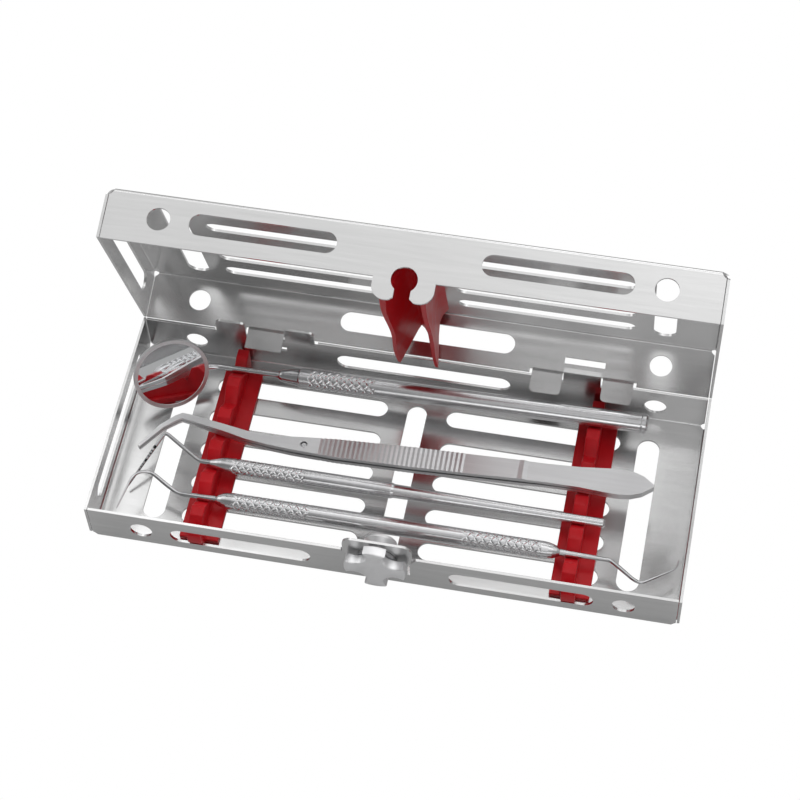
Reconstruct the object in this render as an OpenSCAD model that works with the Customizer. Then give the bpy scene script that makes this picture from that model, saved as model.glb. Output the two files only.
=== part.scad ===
// Dental instrument cassette: a folded steel tray and lid of the same pattern, hooked together
// along the back, with two silicone rails, a silicone cushion in the lid, a quarter-turn latch
// at the front, and the four hand instruments that the rails carry.
//
// X runs along the cassette, Y from front to back and Z up. The origin is in the middle of the
// tray's underside. The lid is drawn closed and then swung open about the hinge line.

/* [Tray and lid] */
// Length of the cassette
case_l = 182; // [181:0.5:186]
// Depth of the cassette, front to back
case_d = 72.4; // [72:0.1:76]
// Thickness of the steel sheet
sheet_t = 0.8; // [0.7:0.05:0.9]
// Outer radius of the bends
bend_r = 1.3; // [1.2:0.05:1.6]
// Height of the tray's walls
tray_h = 15.4; // [15.2:0.1:16.5]
// Height of the lid's walls
lid_wall_h = 15.85; // [15.7:0.05:17]
// Gap between the two rims when the lid is closed
rim_gap = 0.2; // [0.15:0.05:0.35]
// Angle at which the lid stands open
lid_open = 73.1; // [65:0.1:85]

/* [Perforation] */
// Width of the punched slots
slot_w = 6.2; // [5.4:0.1:6.6]
// Diameter of the punched holes
hole_d = 7; // [6:0.1:7.4]
// Distance between the rows of slots in the tray's floor
row_pitch = 12.15; // [11.8:0.05:12.4]
// Distance between the rows of slots in the lid's panel
lid_row_pitch = 12.6; // [12:0.05:12.8]
// Distance of the lid's middle row in front of the middle
lid_row_shift = 2.45; // [1.5:0.05:2.6]
// Distance from the middle to the near end of a floor slot
row_near = 9.5; // [8.5:0.1:12]
// Distance from the end of the cassette to the far end of a floor slot
row_inset = 26.1; // [25.6:0.1:28]
// Distance from the end of the cassette to the middle of the slot across the floor there
end_slot_inset = 17.15; // [16:0.05:17.6]
// Width of the slots across the ends of the floor
end_slot_w = 6.9; // [6:0.1:7.2]
// Length of the slots that run across the floor
cross_slot_l = 54.6; // [48:0.2:58]
// Distance from the end of the cassette to the round holes in the walls
wall_hole_inset = 17; // [15:0.2:19]
// Width of the slots in the front and back walls
wall_slot_w = 6.6; // [5.8:0.1:6.8]
// Distance from the middle to the near end of a front slot
front_slot_near = 21.1; // [19:0.1:24]
// Length of the slot in the middle of the back wall
back_slot_l = 56; // [44:0.5:58]
// Length of the slots in the end walls
side_slot_l = 53.4; // [44:0.2:56]

/* [Hinge] */
// Distance from the end of the cassette to each hinge
hinge_inset = 40.4; // [39.6:0.1:41.2]
// Width of the single hooked tab
hook_tab_w = 11.7; // [10.5:0.1:12]
// Width of each tab of a pair
pair_tab_w = 9.6; // [8.5:0.1:10]
// Gap between neighbouring tabs
tab_gap = 0.45; // [0.35:0.05:0.7]
// Reach of the paired tabs past the hinge line
tab_reach = 6.4; // [6:0.1:6.6]
// Distance from the hinge line to the hook
hook_z = 4.95; // [4.8:0.05:5.1]

/* [Latch] */
// Height of the latch's axis above the table
latch_z = 15.6; // [15.4:0.05:15.9]
// Width of the latch tab at its widest
latch_tab_w = 21; // [20.4:0.2:22]
// Width of the latch tab's neck
latch_neck_w = 18; // [17.8:0.1:18.6]
// Rise of the latch tab above the tray's rim
latch_tab_rise = 8.8; // [8:0.1:9.6]
// Width of the lid's keyhole tab
key_tab_w = 18.2; // [17.4:0.1:18.4]
// Reach of the keyhole tab past the hinge line
key_tab_reach = 6.4; // [6:0.1:6.6]
// Diameter of the keyhole
keyhole_d = 7.8; // [7.6:0.1:8.2]
// Width of the keyhole's neck
key_neck_w = 4.8; // [4.6:0.1:5.2]
// Outer diameter of the knob
knob_d = 19; // [18:0.2:20]
// Thickness of the knob
knob_t = 4.2; // [3.6:0.1:4.6]
// Number of lobes of the knob
knob_lobes = 6; // [5:1:7]
// Diameter of the latch's dished head
latch_head_d = 10.2; // [9.6:0.1:10.6]

/* [Silicone] */
// Distance from the end of the cassette to each rail
rail_inset = 33.7; // [33:0.1:34.5]
// Width of a rail's foot
rail_w = 12.2; // [11:0.1:13]
// Width of a rail's toothed ridge
ridge_w = 4.9; // [4.2:0.1:5.4]
// Height of the ridge's teeth above the table
tooth_top = 10.4; // [10:0.1:10.8]
// Height of the valleys between the teeth above the table
valley_z = 6.5; // [6.2:0.1:6.8]
// Length of a tooth's flat top
tooth_flat = 3.3; // [2.6:0.1:4]
// Distance from the tray's front to the front seat
front_seat_inset = 14.4; // [14.2:0.1:15.4]
// Drop of the cushion's fins below the lid's panel
fin_drop = 19.6; // [17:0.1:19.8]

/* [Instruments] */
// Diameter of the mirror's head
mirror_d = 24.2; // [22:0.1:24.4]
// Diameter of the mirror's handle
mirror_handle_d = 6.2; // [5.8:0.1:6.4]
// Distance from the end of the mirror's handle to the end of the cassette
mirror_end_inset = 18.3; // [17.5:0.1:21]
// Thickness of each arm of the tweezers
arm_t = 1.5; // [1.3:0.1:1.6]
// Widest width of the tweezers
tweezers_w = 9; // [8.6:0.1:9.4]
// Number of ribs on each arm of the tweezers
arm_ribs = 31; // [25:1:33]
// Diameter of the probe's grip
probe_grip_d = 4.3; // [4:0.1:4.6]
// Diameter of the probe's tail end
probe_tail_d = 3; // [2.8:0.1:3.2]
// Diameter of the explorer's handle
explorer_d = 4.8; // [4.4:0.1:5]
// Clearance between an instrument and its silicone seat
seat_gap = 0.3; // [0.25:0.05:0.4]

/* [Hidden] */

steel = [0.78, 0.78, 0.79];
bright_steel = [0.86, 0.86, 0.87];
satin_steel = [0.62, 0.63, 0.64];
silicone_red = [0.72, 0.06, 0.10];
glass_tint = [0.80, 0.86, 0.90];

$fn = 48;

// One overrun serves every cut
over = 1;

// Tray and lid
half_l = case_l / 2;
half_d = case_d / 2;
lid_rise = rim_gap + lid_wall_h;
lid_top = tray_h + lid_rise;
panel_z = lid_top - sheet_t;
relief_r = 2.5;
seam_gap = 0.25;
row_span = 2;
row_far = half_l - row_inset;
end_slot_x = half_l - end_slot_inset;
wall_hole_x = half_l - wall_hole_inset;
side_slot_w = 6;

// Hinge: every tab steps inward so that it lies inside the other half's wall
hinge_x = half_l - hinge_inset;
joggle_h = 1.3;
joggle_gap = 0.12;
hinge_shift = sheet_t + joggle_gap;
foot_h = 2 * sheet_t;
tab_corner_r = 1.5;
notch_w = 0.9;
hook_slot_before = 0.45;
hook_slot_beyond = 0.9;
hook_slot_side = 0.55;
pair_x = hook_tab_w / 2 + tab_gap + pair_tab_w / 2;
tab_sweep = norm([tab_reach, hinge_shift + sheet_t]);

// Latch: the tray's tab steps outward so that the keyhole tab slides in behind it
latch_play = 0.4;
latch_shift = sheet_t + latch_play;
latch_root_drop = 9.2;
latch_joggle_h = 2.1;
latch_slit = 0.5;
latch_flare = 1.9;
latch_flare_h = 2.9;
latch_corner_r = 3;
latch_shoulder_h = 1.4;
ear_outer_r = 4;
ear_inner_r = 2;
shaft_play = 0.05;
key_play = 0.15;
flat_play = 0.2;
shaft_d = keyhole_d - 2 * key_play;
shaft_flat_w = key_neck_w - 2 * flat_play;
tab_outer_y = -half_d - latch_shift;
tab_inner_y = tab_outer_y + sheet_t;
knob_standoff = 2;
knob_back_y = tab_outer_y - knob_standoff;
knob_face_y = knob_back_y - knob_t;
knob_edge_r = 0.6;
knob_skin = 1.2;
knob_boss_d = 11;
lobe_share = 0.17;
scallop_share = 0.09;
scallop_place_share = 0.375;
washer_t = 0.9;
washer_d = 12;
washer_gap = 0.1;
washer_back_y = tab_outer_y - washer_gap;
head_gap = 0.4;
head_start_y = -half_d + sheet_t + head_gap;
head_cone_l = 2.4;
head_rim_l = 1.1;
head_rim_r = 0.4;
head_dish = 1.4;

// Silicone
rail_x = half_l - rail_inset;
rail_foot_t = 1.8;
rail_end_gap = 3.2;
rail_foot_back = 7.2;
ridge_end_gap = 1.3;
ridge_end_z = 8.4;
ridge_bevel = 0.6;
tongue_h = 4.4;
tongue_out = 0.3;
tooth_count = 5;
tweezers_place = 2;
probe_place = 3;
hinge_clear = 0.25;
first_seat_y = half_d - tab_sweep - mirror_handle_d / 2 - hinge_clear;
seat_pitch = (first_seat_y + half_d - front_seat_inset) / (tooth_count - 1);
tooth_run = (seat_pitch - tooth_flat) / 2;
tooth_rise = tooth_top - valley_z;
valley_half = atan(tooth_run / tooth_rise);
cushion_end_gap = 5.6;
cushion_base_w = 12;
cushion_waist_w = 8;
cushion_fin_w = 11.6;
cushion_tip_w = 0.6;
cushion_base_h = 4.6;
cushion_crotch_h = 6.6;
cushion_fit = 0.05;

// Mirror
stem_r = 1.05;
stem_nose_r = 1.8;
stem_nose_l = 0.6;
stem_cone_at = 13;
stem_cone_l = 6;
stem_cone_r = 2.7;
stem_bend_at = -8.5;
handle_at = stem_cone_at + stem_cone_l;
mirror_handle_l = rail_x + half_l - mirror_end_inset - handle_at;
handle_chamfer = 0.5;
mirror_knurl_at = 3.5;
mirror_rings = 9;
ring_pitch = 2.4;
ring_depth = 0.4;
ring_flat_share = 0.55;
plug_l = 1.6;
plug_gap = 0.3;
plug_spigot_l = 4;
plug_spigot_share = 0.66;
head_tilt = 65.5;
head_turn = -57.2;
mirror_rim_w = 1.2;
mirror_cup_t = 2.4;
mirror_edge_t = 1.2;
mirror_back_w = 2.5;
glass_t = 0.9;
glass_recess = 0.2;
mirror_floor_gap = 1;
mirror_seat_drop = 8.4;
mirror_head_at = 20.1;
neck_reach = 6;
neck_lift = 0.6;

// Tweezers
tweezers_overhang = 20.4;
tweezers_beak_l = 25;
tweezers_tail_at = 2 * rail_x + tweezers_overhang;
tweezers_l = tweezers_tail_at + tweezers_beak_l;
tweezers_yaw = 1.4;
tweezers_side = 2.9;
neck_w = 2.6;
arm_gap = 0.8;
arm_tip_gap = 0.3;
tail_contact = 8;
rib_zone_l = 46;
rib_zone_at = 31.5;
rib_depth = 0.22;
ridge_at = 95;
ridge_step = 0.25;
pin_at = 26.6;
pin_d = 1.6;
pin_play = 0.3;
pin_recess = 0.5;
// Outline of the arms behind the neck: place as a share of the length, width as a share of w
arm_outline_shares = [[0, 0.29], [0.08, 0.37], [0.17, 0.52], [0.27, 0.72], [0.45, 0.80],
    [0.60, 0.77], [0.75, 0.735], [0.83, 0.79], [0.90, 0.97], [0.925, 1], [0.95, 0.93],
    [0.975, 0.66], [1, 0.08]];
// Bent beak: along the length, to the side, and width, all as shares of the length
beak_path_shares = [[0.10, 0.001, 0.022], [0.05, 0.007, 0.018], [0.012, 0.016, 0.0155],
    [-0.03, 0.025, 0.014], [-0.065, 0.033, 0.013], [-0.084, 0.036, 0.0125],
    [-0.094, 0.030, 0.0115], [-0.12, 0.007, 0.009], [-0.154, -0.043, 0.005]];

// Probe
probe_tip_at = -1.1;
probe_cone_l = 5.6;
probe_knurl_at = 6;
probe_rings = 11;
probe_ring_pitch = 2.1;
probe_overhang = 7.3;
probe_joint_share = 0.466;
probe_l = 2 * rail_x + probe_overhang;
probe_joint_at = probe_l * probe_joint_share;
probe_shank_r = 0.65;
probe_neck_r = 0.95;
probe_cone_r = 1.75;
probe_reach = 24.9;

// Explorer
explorer_at = 3.3;
explorer_end_gap = 4.6;
explorer_l = 2 * rail_x - explorer_at - explorer_end_gap;
explorer_cone_l = 5.4;
explorer_knurl_at = 6.5;
explorer_rings = 11;
explorer_ring_pitch = 2.15;
explorer_neck_r = 1.1;
explorer_shank_r = 0.65;
explorer_left_reach = 28.4;
explorer_right_reach = 35.5;
groove_depth = 0.3;

// Where the bent ends go after the neck: outward along the handle, to the side and up, as shares
// of the reach, each with the wire's radius there as a share of the shank's
probe_route_shares = [[0.145, 0, 0, 1], [0.66, 0.317, 0.036, 0.9], [1, -0.353, -0.257, 0.46]];
left_route_shares = [[0.4225, 0, 0, 1], [0.5635, 0.067, 0.032, 1], [0.7255, 0.155, 0.07, 0.9],
    [0.803, 0.162, 0.0915, 0.8], [0.88, 0.123, 0.1055, 0.7], [0.9365, 0.0565, 0.1055, 0.6],
    [1, -0.345, 0.1055, 0.31]];
right_route_shares = [[0.428, 0, 0, 1], [0.49, -0.0395, 0, 1], [0.6535, -0.155, 0, 0.85],
    [0.7155, -0.1745, 0, 0.75], [0.9915, 0.014, 0.0055, 0.43], [1, 0.096, 0.0055, 0.31]];

// How a bent wire is drawn
wire_sides = 12;
wire_bend = 1.6;
bend_share = 0.45;
bend_steps = 3;

function seat_y(place) = first_seat_y - place * seat_pitch;
function seat_z(r) = valley_z + (r + seat_gap) / sin(valley_half);
function flat_seat_z(w) = min(valley_z + (w / 2 + seat_gap) * tooth_rise / tooth_run, tooth_top + seat_gap);
function aim(v) = [0, acos(v.z / norm(v)), atan2(v.y, v.x)];
function unit(v) = v / norm(v);

// Extrusions of an upright outline, along the cassette and across it
module along_x(len) rotate([90, 0, 90]) linear_extrude(len, center = true) children();
module along_y(len) rotate([90, 0, 0]) linear_extrude(len, center = true) children();

// Solid turned about X from a list of radius and place
module turned(points) rotate([0, 90, 0]) rotate_extrude() polygon(points);

// Upright outline with its two lower corners rounded
module trough_outline(w, h, r) {
    translate([-w / 2, r]) square([w, h - r]);
    translate([-w / 2 + r, 0]) square([w - 2 * r, h]);
    for (side = [-1, 1]) translate([side * (w / 2 - r), r]) circle(r);
}

// Upright outline with its two upper corners rounded
module tab_outline(w, z0, z1, r) {
    translate([-w / 2, z0]) square([w, z1 - z0 - r]);
    translate([-w / 2 + r, z0]) square([w - 2 * r, z1 - z0]);
    for (side = [-1, 1]) translate([side * (w / 2 - r), z1 - r]) circle(r);
}

// Slot with round ends from x0 to x1
module slot(x0, x1, w) {
    translate([x0 + w / 2, -w / 2]) square([x1 - x0 - w, w]);
    for (x = [x0 + w / 2, x1 - w / 2]) translate([x, 0]) circle(d = w);
}

module trough(l, d, h, r) intersection() {
    along_x(l) trough_outline(d, h, r);
    along_y(d) trough_outline(l, h, r);
}

// Rows of long slots, one slot across the middle and one across each end
module floor_pattern(pitch, shift) {
    for (side = [-1, 1], row = [-row_span : row_span])
        translate([0, row * pitch - shift]) mirror([side < 0 ? 1 : 0, 0])
            slot(row_near, row_far, slot_w);
    rotate(90) slot(-cross_slot_l / 2, cross_slot_l / 2, slot_w);
    for (side = [-1, 1]) translate([side * end_slot_x, 0])
        rotate(90) slot(-cross_slot_l / 2, cross_slot_l / 2, end_slot_w);
}

module wall_holes() for (side = [-1, 1]) translate([side * wall_hole_x, 0]) circle(d = hole_d);

// Open box folded from one punched sheet, with relief holes at the corners and open seams
module pan(h, pitch, shift) difference() {
    trough(case_l, case_d, h, bend_r);
    translate([0, 0, sheet_t])
        trough(case_l - 2 * sheet_t, case_d - 2 * sheet_t, h, bend_r - sheet_t);
    for (sx = [-1, 1], sy = [-1, 1]) scale([sx, sy, 1]) {
        translate([half_l, half_d, 0]) sphere(relief_r);
        translate([half_l - sheet_t - seam_gap, half_d - sheet_t - over, bend_r])
            cube([seam_gap, sheet_t + 2 * over, h]);
    }
    translate([0, 0, -over]) linear_extrude(sheet_t + 2 * over) floor_pattern(pitch, shift);
    translate([0, -half_d, h / 2]) along_y(2 * (sheet_t + over)) {
        wall_holes();
        slot(front_slot_near, row_far, wall_slot_w);
        mirror([1, 0]) slot(front_slot_near, row_far, wall_slot_w);
    }
    translate([0, half_d, h / 2]) along_y(2 * (sheet_t + over)) {
        wall_holes();
        slot(-back_slot_l / 2, back_slot_l / 2, wall_slot_w);
    }
    for (side = [-1, 1]) translate([side * half_l, 0, h / 2]) along_x(2 * (sheet_t + over))
        slot(-side_slot_l / 2, side_slot_l / 2, side_slot_w);
}

// Section of sheet that steps by shift between z0 and z0 + rise, then goes on up to top
module joggle_section(shift, z0, rise, top) {
    miter = sign(shift) * sheet_t * tan(atan(abs(shift) / rise) / 2);
    polygon([[0, z0 - foot_h], [0, z0], [shift, z0 + rise], [shift, top],
        [shift - sheet_t, top], [shift - sheet_t, z0 + rise + miter],
        [-sheet_t, z0 + miter], [-sheet_t, z0 - foot_h]]);
}

// Plain hinge tab with rounded corners
module pair_tab(x, h, line) translate([x, half_d, 0]) intersection() {
    along_x(pair_tab_w) joggle_section(-hinge_shift, h - joggle_h, joggle_h, line + tab_reach);
    along_y(4 * foot_h) tab_outline(pair_tab_w, h - joggle_h - foot_h, line + tab_reach, tab_corner_r);
}

// Hinge tab whose end turns outward as a hook
module hook_tab(x, h, line) translate([x, half_d, 0]) along_x(hook_tab_w) {
    joggle_section(-hinge_shift, h - joggle_h, joggle_h, line + hook_z + sheet_t);
    translate([-hinge_shift - sheet_t, line + hook_z]) square([hinge_shift + sheet_t, sheet_t]);
}

module rim_notch(x, w, h)
    translate([x - w / 2 - notch_w, half_d - sheet_t - over, h - joggle_h])
        cube([w + 2 * notch_w, sheet_t + 2 * over, joggle_h + over]);

// Folded half with its hinge tabs: a pair with a slot on the left, a hook on the right
module hinged_pan(h, line, pitch, shift) {
    difference() {
        pan(h, pitch, shift);
        for (side = [-1, 1]) rim_notch(side * pair_x - hinge_x, pair_tab_w, h);
        rim_notch(hinge_x, hook_tab_w, h);
        translate([-hinge_x - hook_tab_w / 2 - hook_slot_side, half_d - sheet_t - over,
                line - hook_z - sheet_t - hook_slot_beyond])
            cube([hook_tab_w + 2 * hook_slot_side, sheet_t + 2 * over,
                sheet_t + hook_slot_before + hook_slot_beyond]);
    }
    for (side = [-1, 1]) pair_tab(side * pair_x - hinge_x, h, line);
    hook_tab(hinge_x, h, line);
}

// Cut-out that frees the latch tab from the front wall, flared at the rim
module latch_cut_outline() {
    neck = latch_neck_w / 2 + latch_slit;
    root = tray_h - latch_root_drop;
    polygon([[-neck, root], [neck, root], [neck, tray_h - latch_flare_h],
        [neck + latch_flare, tray_h], [neck + latch_flare, tray_h + over],
        [-neck - latch_flare, tray_h + over], [-neck - latch_flare, tray_h],
        [-neck, tray_h - latch_flare_h]]);
}

// Outline of the latch tab: a neck, sloping shoulders and a wide head
module latch_tab_outline() {
    root = tray_h - latch_root_drop - foot_h;
    shoulder = tray_h + latch_shoulder_h;
    waist = tray_h - latch_flare_h;
    translate([-latch_neck_w / 2, root]) square([latch_neck_w, shoulder - root]);
    polygon([[-latch_neck_w / 2, waist], [latch_neck_w / 2, waist],
        [latch_tab_w / 2, shoulder], [-latch_tab_w / 2, shoulder]]);
    tab_outline(latch_tab_w, shoulder, tray_h + latch_tab_rise, latch_corner_r);
}

module tray() color(steel) difference() {
    union() {
        difference() {
            hinged_pan(tray_h, tray_h, row_pitch, 0);
            translate([0, -half_d, 0]) along_y(2 * (sheet_t + over)) latch_cut_outline();
        }
        intersection() {
            translate([0, -half_d, 0]) mirror([0, 1, 0]) along_x(latch_tab_w)
                joggle_section(latch_shift, tray_h - latch_root_drop, latch_joggle_h,
                    tray_h + latch_tab_rise);
            translate([0, -half_d, 0]) along_y(4 * foot_h) latch_tab_outline();
        }
    }
    translate([0, tab_outer_y, latch_z]) along_y(2 * (sheet_t + over))
        circle(d = shaft_d + 2 * shaft_play);
}

// Ear beside the keyhole's neck, with a large outer and a small inner corner
module key_ear(z0, z1) {
    inner = key_neck_w / 2;
    outer = key_tab_w / 2;
    translate([inner, z0]) square([outer - inner, z1 - ear_outer_r - z0]);
    translate([inner, z0]) square([outer - ear_outer_r - inner, z1 - ear_inner_r - z0]);
    translate([inner + ear_inner_r, z0])
        square([outer - ear_outer_r - inner - ear_inner_r, z1 - z0]);
    translate([outer - ear_outer_r, z1 - ear_outer_r]) circle(ear_outer_r);
    translate([inner + ear_inner_r, z1 - ear_inner_r]) circle(ear_inner_r);
}

// The lid in the closed place: the same folded half turned over about Y
module closed_lid() translate([0, 0, lid_top]) rotate([0, 180, 0]) difference() {
    union() {
        hinged_pan(lid_wall_h, lid_rise, lid_row_pitch, lid_row_shift);
        translate([0, -half_d + sheet_t / 2, 0]) along_y(sheet_t) for (side = [0, 1])
            mirror([side, 0]) key_ear(lid_wall_h - foot_h, lid_rise + key_tab_reach);
    }
    translate([0, -half_d, lid_top - latch_z]) along_y(2 * (sheet_t + over)) {
        circle(d = keyhole_d);
        translate([-key_neck_w / 2, 0]) square([key_neck_w, key_tab_reach + over]);
    }
}

module swung() translate([0, half_d, tray_h]) rotate([-lid_open, 0, 0])
    translate([0, -half_d, -tray_h]) children();

module lid() color(steel) swung() closed_lid();

// One tooth with bevelled edges, standing on the ridge between two valleys
module tooth(y) {
    lean = ridge_bevel * tooth_run / tooth_rise;
    translate([0, y, 0]) hull() {
        along_x(ridge_w - 2 * ridge_bevel) polygon([[-seat_pitch / 2, valley_z],
            [seat_pitch / 2, valley_z], [tooth_flat / 2, tooth_top], [-tooth_flat / 2, tooth_top]]);
        along_x(ridge_w) polygon([[-seat_pitch / 2 + lean, valley_z],
            [seat_pitch / 2 - lean, valley_z], [tooth_flat / 2, tooth_top - ridge_bevel],
            [-tooth_flat / 2, tooth_top - ridge_bevel]]);
    }
}

module rail(side) color(silicone_red) translate([side * rail_x, 0, 0]) {
    front_y = -half_d + rail_end_gap;
    inner_y = -half_d + sheet_t;
    back_y = half_d - sheet_t - ridge_end_gap;
    ramp = (ridge_end_z - valley_z) * tooth_run / tooth_rise;
    translate([-rail_w / 2, front_y, sheet_t])
        cube([rail_w, case_d - rail_end_gap - rail_foot_back, rail_foot_t]);
    along_x(ridge_w) polygon([[front_y, sheet_t], [back_y, sheet_t], [back_y, ridge_end_z],
        [seat_y(0) + ramp, ridge_end_z], [seat_y(0), valley_z], [front_y, valley_z]]);
    for (place = [0 : tooth_count - 1]) tooth(seat_y(place) - seat_pitch / 2);
    translate([-ridge_w / 2, inner_y, sheet_t])
        cube([ridge_w, front_y - inner_y, tray_h / 2 + tongue_h / 2 - sheet_t]);
    translate([-ridge_w / 2, -half_d - tongue_out, tray_h / 2 - tongue_h / 2])
        cube([ridge_w, sheet_t + tongue_out, tongue_h]);
}

module left_rail() rail(-1);
module right_rail() rail(1);

// Swallow-tailed strip under the lid's panel, held by a tongue in the panel's middle slot
module lid_cushion() color(silicone_red) swung() {
    tip_z = panel_z - fin_drop;
    waist_z = panel_z - cushion_base_h;
    along_y(case_d - 2 * cushion_end_gap) polygon([[-cushion_base_w / 2, panel_z],
        [-cushion_waist_w / 2, waist_z], [-cushion_fin_w / 2, tip_z],
        [-cushion_fin_w / 2 + cushion_tip_w, tip_z], [0, panel_z - cushion_crotch_h],
        [cushion_fin_w / 2 - cushion_tip_w, tip_z], [cushion_fin_w / 2, tip_z],
        [cushion_waist_w / 2, waist_z], [cushion_base_w / 2, panel_z]]);
    translate([0, 0, panel_z]) linear_extrude(sheet_t) rotate(90)
        slot(-cross_slot_l / 2 + cushion_fit, cross_slot_l / 2 - cushion_fit,
            slot_w - 2 * cushion_fit);
}

// Axis of the latch: local z is the cassette's y
module on_latch() translate([0, 0, latch_z]) rotate([-90, 0, 0]) children();

// Lobed knob: the tips of the lobes lie on the knob's diameter
module latch_knob() color(bright_steel) on_latch() difference() {
    lobe_r = knob_d * lobe_share;
    union() {
        intersection() {
            translate([0, 0, knob_face_y]) linear_extrude(knob_t) difference() {
                union() {
                    circle(d = knob_d - 2 * lobe_r);
                    for (i = [0 : knob_lobes - 1]) rotate(90 + i * 360 / knob_lobes)
                        translate([knob_d / 2 - lobe_r, 0]) circle(lobe_r);
                }
                for (i = [0 : knob_lobes - 1]) rotate(90 + (i + 0.5) * 360 / knob_lobes)
                    translate([knob_d * scallop_place_share, 0]) circle(knob_d * scallop_share);
            }
            rotate_extrude() knob_section();
        }
        translate([0, 0, knob_back_y])
            cylinder(h = washer_back_y - washer_t - knob_back_y, d = knob_boss_d);
    }
    translate([0, 0, knob_face_y + knob_skin]) cylinder(h = knob_t + knob_standoff, d = shaft_d);
}

// Half section of the knob with rounded edges
module knob_section() {
    r = knob_d / 2;
    translate([0, knob_face_y]) square([r - knob_edge_r, knob_t]);
    translate([0, knob_face_y + knob_edge_r]) square([r, knob_t - 2 * knob_edge_r]);
    for (z = [knob_face_y + knob_edge_r, knob_back_y - knob_edge_r])
        translate([r - knob_edge_r, z]) circle(knob_edge_r);
}

module latch_washer() color(satin_steel) on_latch() difference() {
    translate([0, 0, washer_back_y - washer_t]) cylinder(h = washer_t, d = washer_d);
    translate([0, 0, washer_back_y - washer_t - over])
        cylinder(h = washer_t + 2 * over, d = shaft_d);
}

// Shaft with two flats that pass the keyhole's neck, and a dished head that holds the lid's tab
module latch_shaft() color(bright_steel) on_latch() difference() {
    r = shaft_d / 2;
    head_r = latch_head_d / 2;
    start_y = knob_face_y + knob_skin;
    end_y = head_start_y + head_cone_l + head_rim_l;
    rotate_extrude() polygon([[0, start_y], [r, start_y], [r, head_start_y],
        [head_r, head_start_y + head_cone_l], [head_r, end_y - head_rim_r],
        [head_r - head_rim_r, end_y], [head_r - 2 * head_rim_r, end_y], [0, end_y - head_dish]]);
    for (side = [-1, 1]) translate([side * (shaft_flat_w / 2 + r) - r, -shaft_d, tab_inner_y])
        cube([shaft_d, 2 * shaft_d, head_start_y - tab_inner_y]);
}

// Places an instrument between its two seats: local X runs from the left rail to the right one
module laid(place, left_r, right_r) {
    left_z = seat_z(left_r);
    right_z = seat_z(right_r);
    translate([-rail_x, seat_y(place), left_z])
        rotate([0, -atan((right_z - left_z) / (2 * rail_x)), 0]) children();
}

// Points of a run of grip rings: a flat crest and a V groove for each ring
function rings(at, count, pitch, r, depth) = [for (i = [0 : count - 1], step = [0 : 2])
    step == 0 ? [r, at + i * pitch]
    : step == 1 ? [r, at + (i + ring_flat_share) * pitch]
    : [r - depth, at + (i + (1 + ring_flat_share) / 2) * pitch]];

// Bent wire: the route's corners are rounded and a ring of sides is set square to it at each
// point. A point holds the place and the wire's radius there.
function place_of(p) = [p.x, p.y, p.z];
function bent(shares, reach, r) = [for (s = shares) [s.x * reach, s.y * reach, s.z * reach, s[3] * r]];
function toward(b, a) = b + (a - b) * min(bend_share, wire_bend / norm(place_of(a - b)));
function corner(a, b, c, t) =
    (1 - t) * (1 - t) * toward(b, a) + 2 * t * (1 - t) * b + t * t * toward(b, c);
function route(p) = concat([p[0]],
    [for (i = [1 : len(p) - 2], s = [0 : bend_steps]) corner(p[i - 1], p[i], p[i + 1], s / bend_steps)],
    [p[len(p) - 1]]);
function ring_at(p, i) = let (
    ahead = unit(place_of(p[min(i + 1, len(p) - 1)] - p[max(i - 1, 0)])),
    side = unit(cross(ahead, [0, 0, 1])),
    rise = cross(side, ahead))
    [for (k = [0 : wire_sides - 1])
        place_of(p[i]) + p[i][3] * (side * cos(k * 360 / wire_sides) + rise * sin(k * 360 / wire_sides))];

module wire(points) {
    p = route(points);
    m = wire_sides;
    last = (len(p) - 1) * m;
    polyhedron([for (i = [0 : len(p) - 1], q = ring_at(p, i)) q],
        concat([[for (k = [0 : m - 1]) k]],
            [for (i = [0 : m : last - m], k = [0 : m - 1], half = [0, 1])
                half == 0 ? [i + k, i + m + k, i + (k + 1) % m]
                : [i + (k + 1) % m, i + m + k, i + m + (k + 1) % m]],
            [[for (k = [m - 1 : -1 : 0]) last + k]]));
}

// Mirror head: its axis leans toward the front right
mirror_left_r = stem_r;
mirror_right_r = mirror_handle_d / 2;
head_axis = [sin(head_tilt) * cos(head_turn), sin(head_tilt) * sin(head_turn), cos(head_tilt)];
head_drop = mirror_d / 2 * sin(head_tilt);
head_center = [-rail_x - mirror_head_at, seat_y(0) - mirror_seat_drop,
    sheet_t + mirror_floor_gap + head_drop];
head_side = unit([1, 0, 0] - head_axis * head_axis.x);

module on_mirror_head() translate(head_center) rotate(aim(head_axis)) children();

module mirror_glass() color(glass_tint) on_mirror_head()
    translate([0, 0, -glass_recess - glass_t]) cylinder(h = glass_t, d = mirror_d - 2 * mirror_rim_w);

module mirror_cup() rotate_extrude() polygon([[0, -mirror_cup_t],
    [mirror_d / 2 - mirror_back_w, -mirror_cup_t], [mirror_d / 2, -mirror_edge_t],
    [mirror_d / 2, 0], [mirror_d / 2 - mirror_rim_w, 0],
    [mirror_d / 2 - mirror_rim_w, -glass_recess - glass_t], [0, -glass_recess - glass_t]]);

module mirror_head() color(bright_steel) on_mirror_head() mirror_cup();

// Point on the mirror's axis, x along it from the left rail
function on_mirror_axis(x, r) = let (
    slope = atan((seat_z(mirror_right_r) - seat_z(mirror_left_r)) / (2 * rail_x)))
    [x * cos(slope) - rail_x, seat_y(0), seat_z(mirror_left_r) + x * sin(slope), r];

module mirror_stem() color(bright_steel) difference() {
    neck_end = head_center - head_axis * (mirror_cup_t + neck_lift) + head_side * neck_reach;
    wire([on_mirror_axis(handle_at, stem_cone_r), on_mirror_axis(stem_cone_at, stem_nose_r),
        on_mirror_axis(stem_cone_at - stem_nose_l, stem_r), on_mirror_axis(stem_bend_at, stem_r),
        [neck_end.x, neck_end.y, neck_end.z, stem_r]]);
    on_mirror_head() translate([0, 0, -mirror_cup_t]) cylinder(h = mirror_cup_t, d = mirror_d);
}

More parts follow.
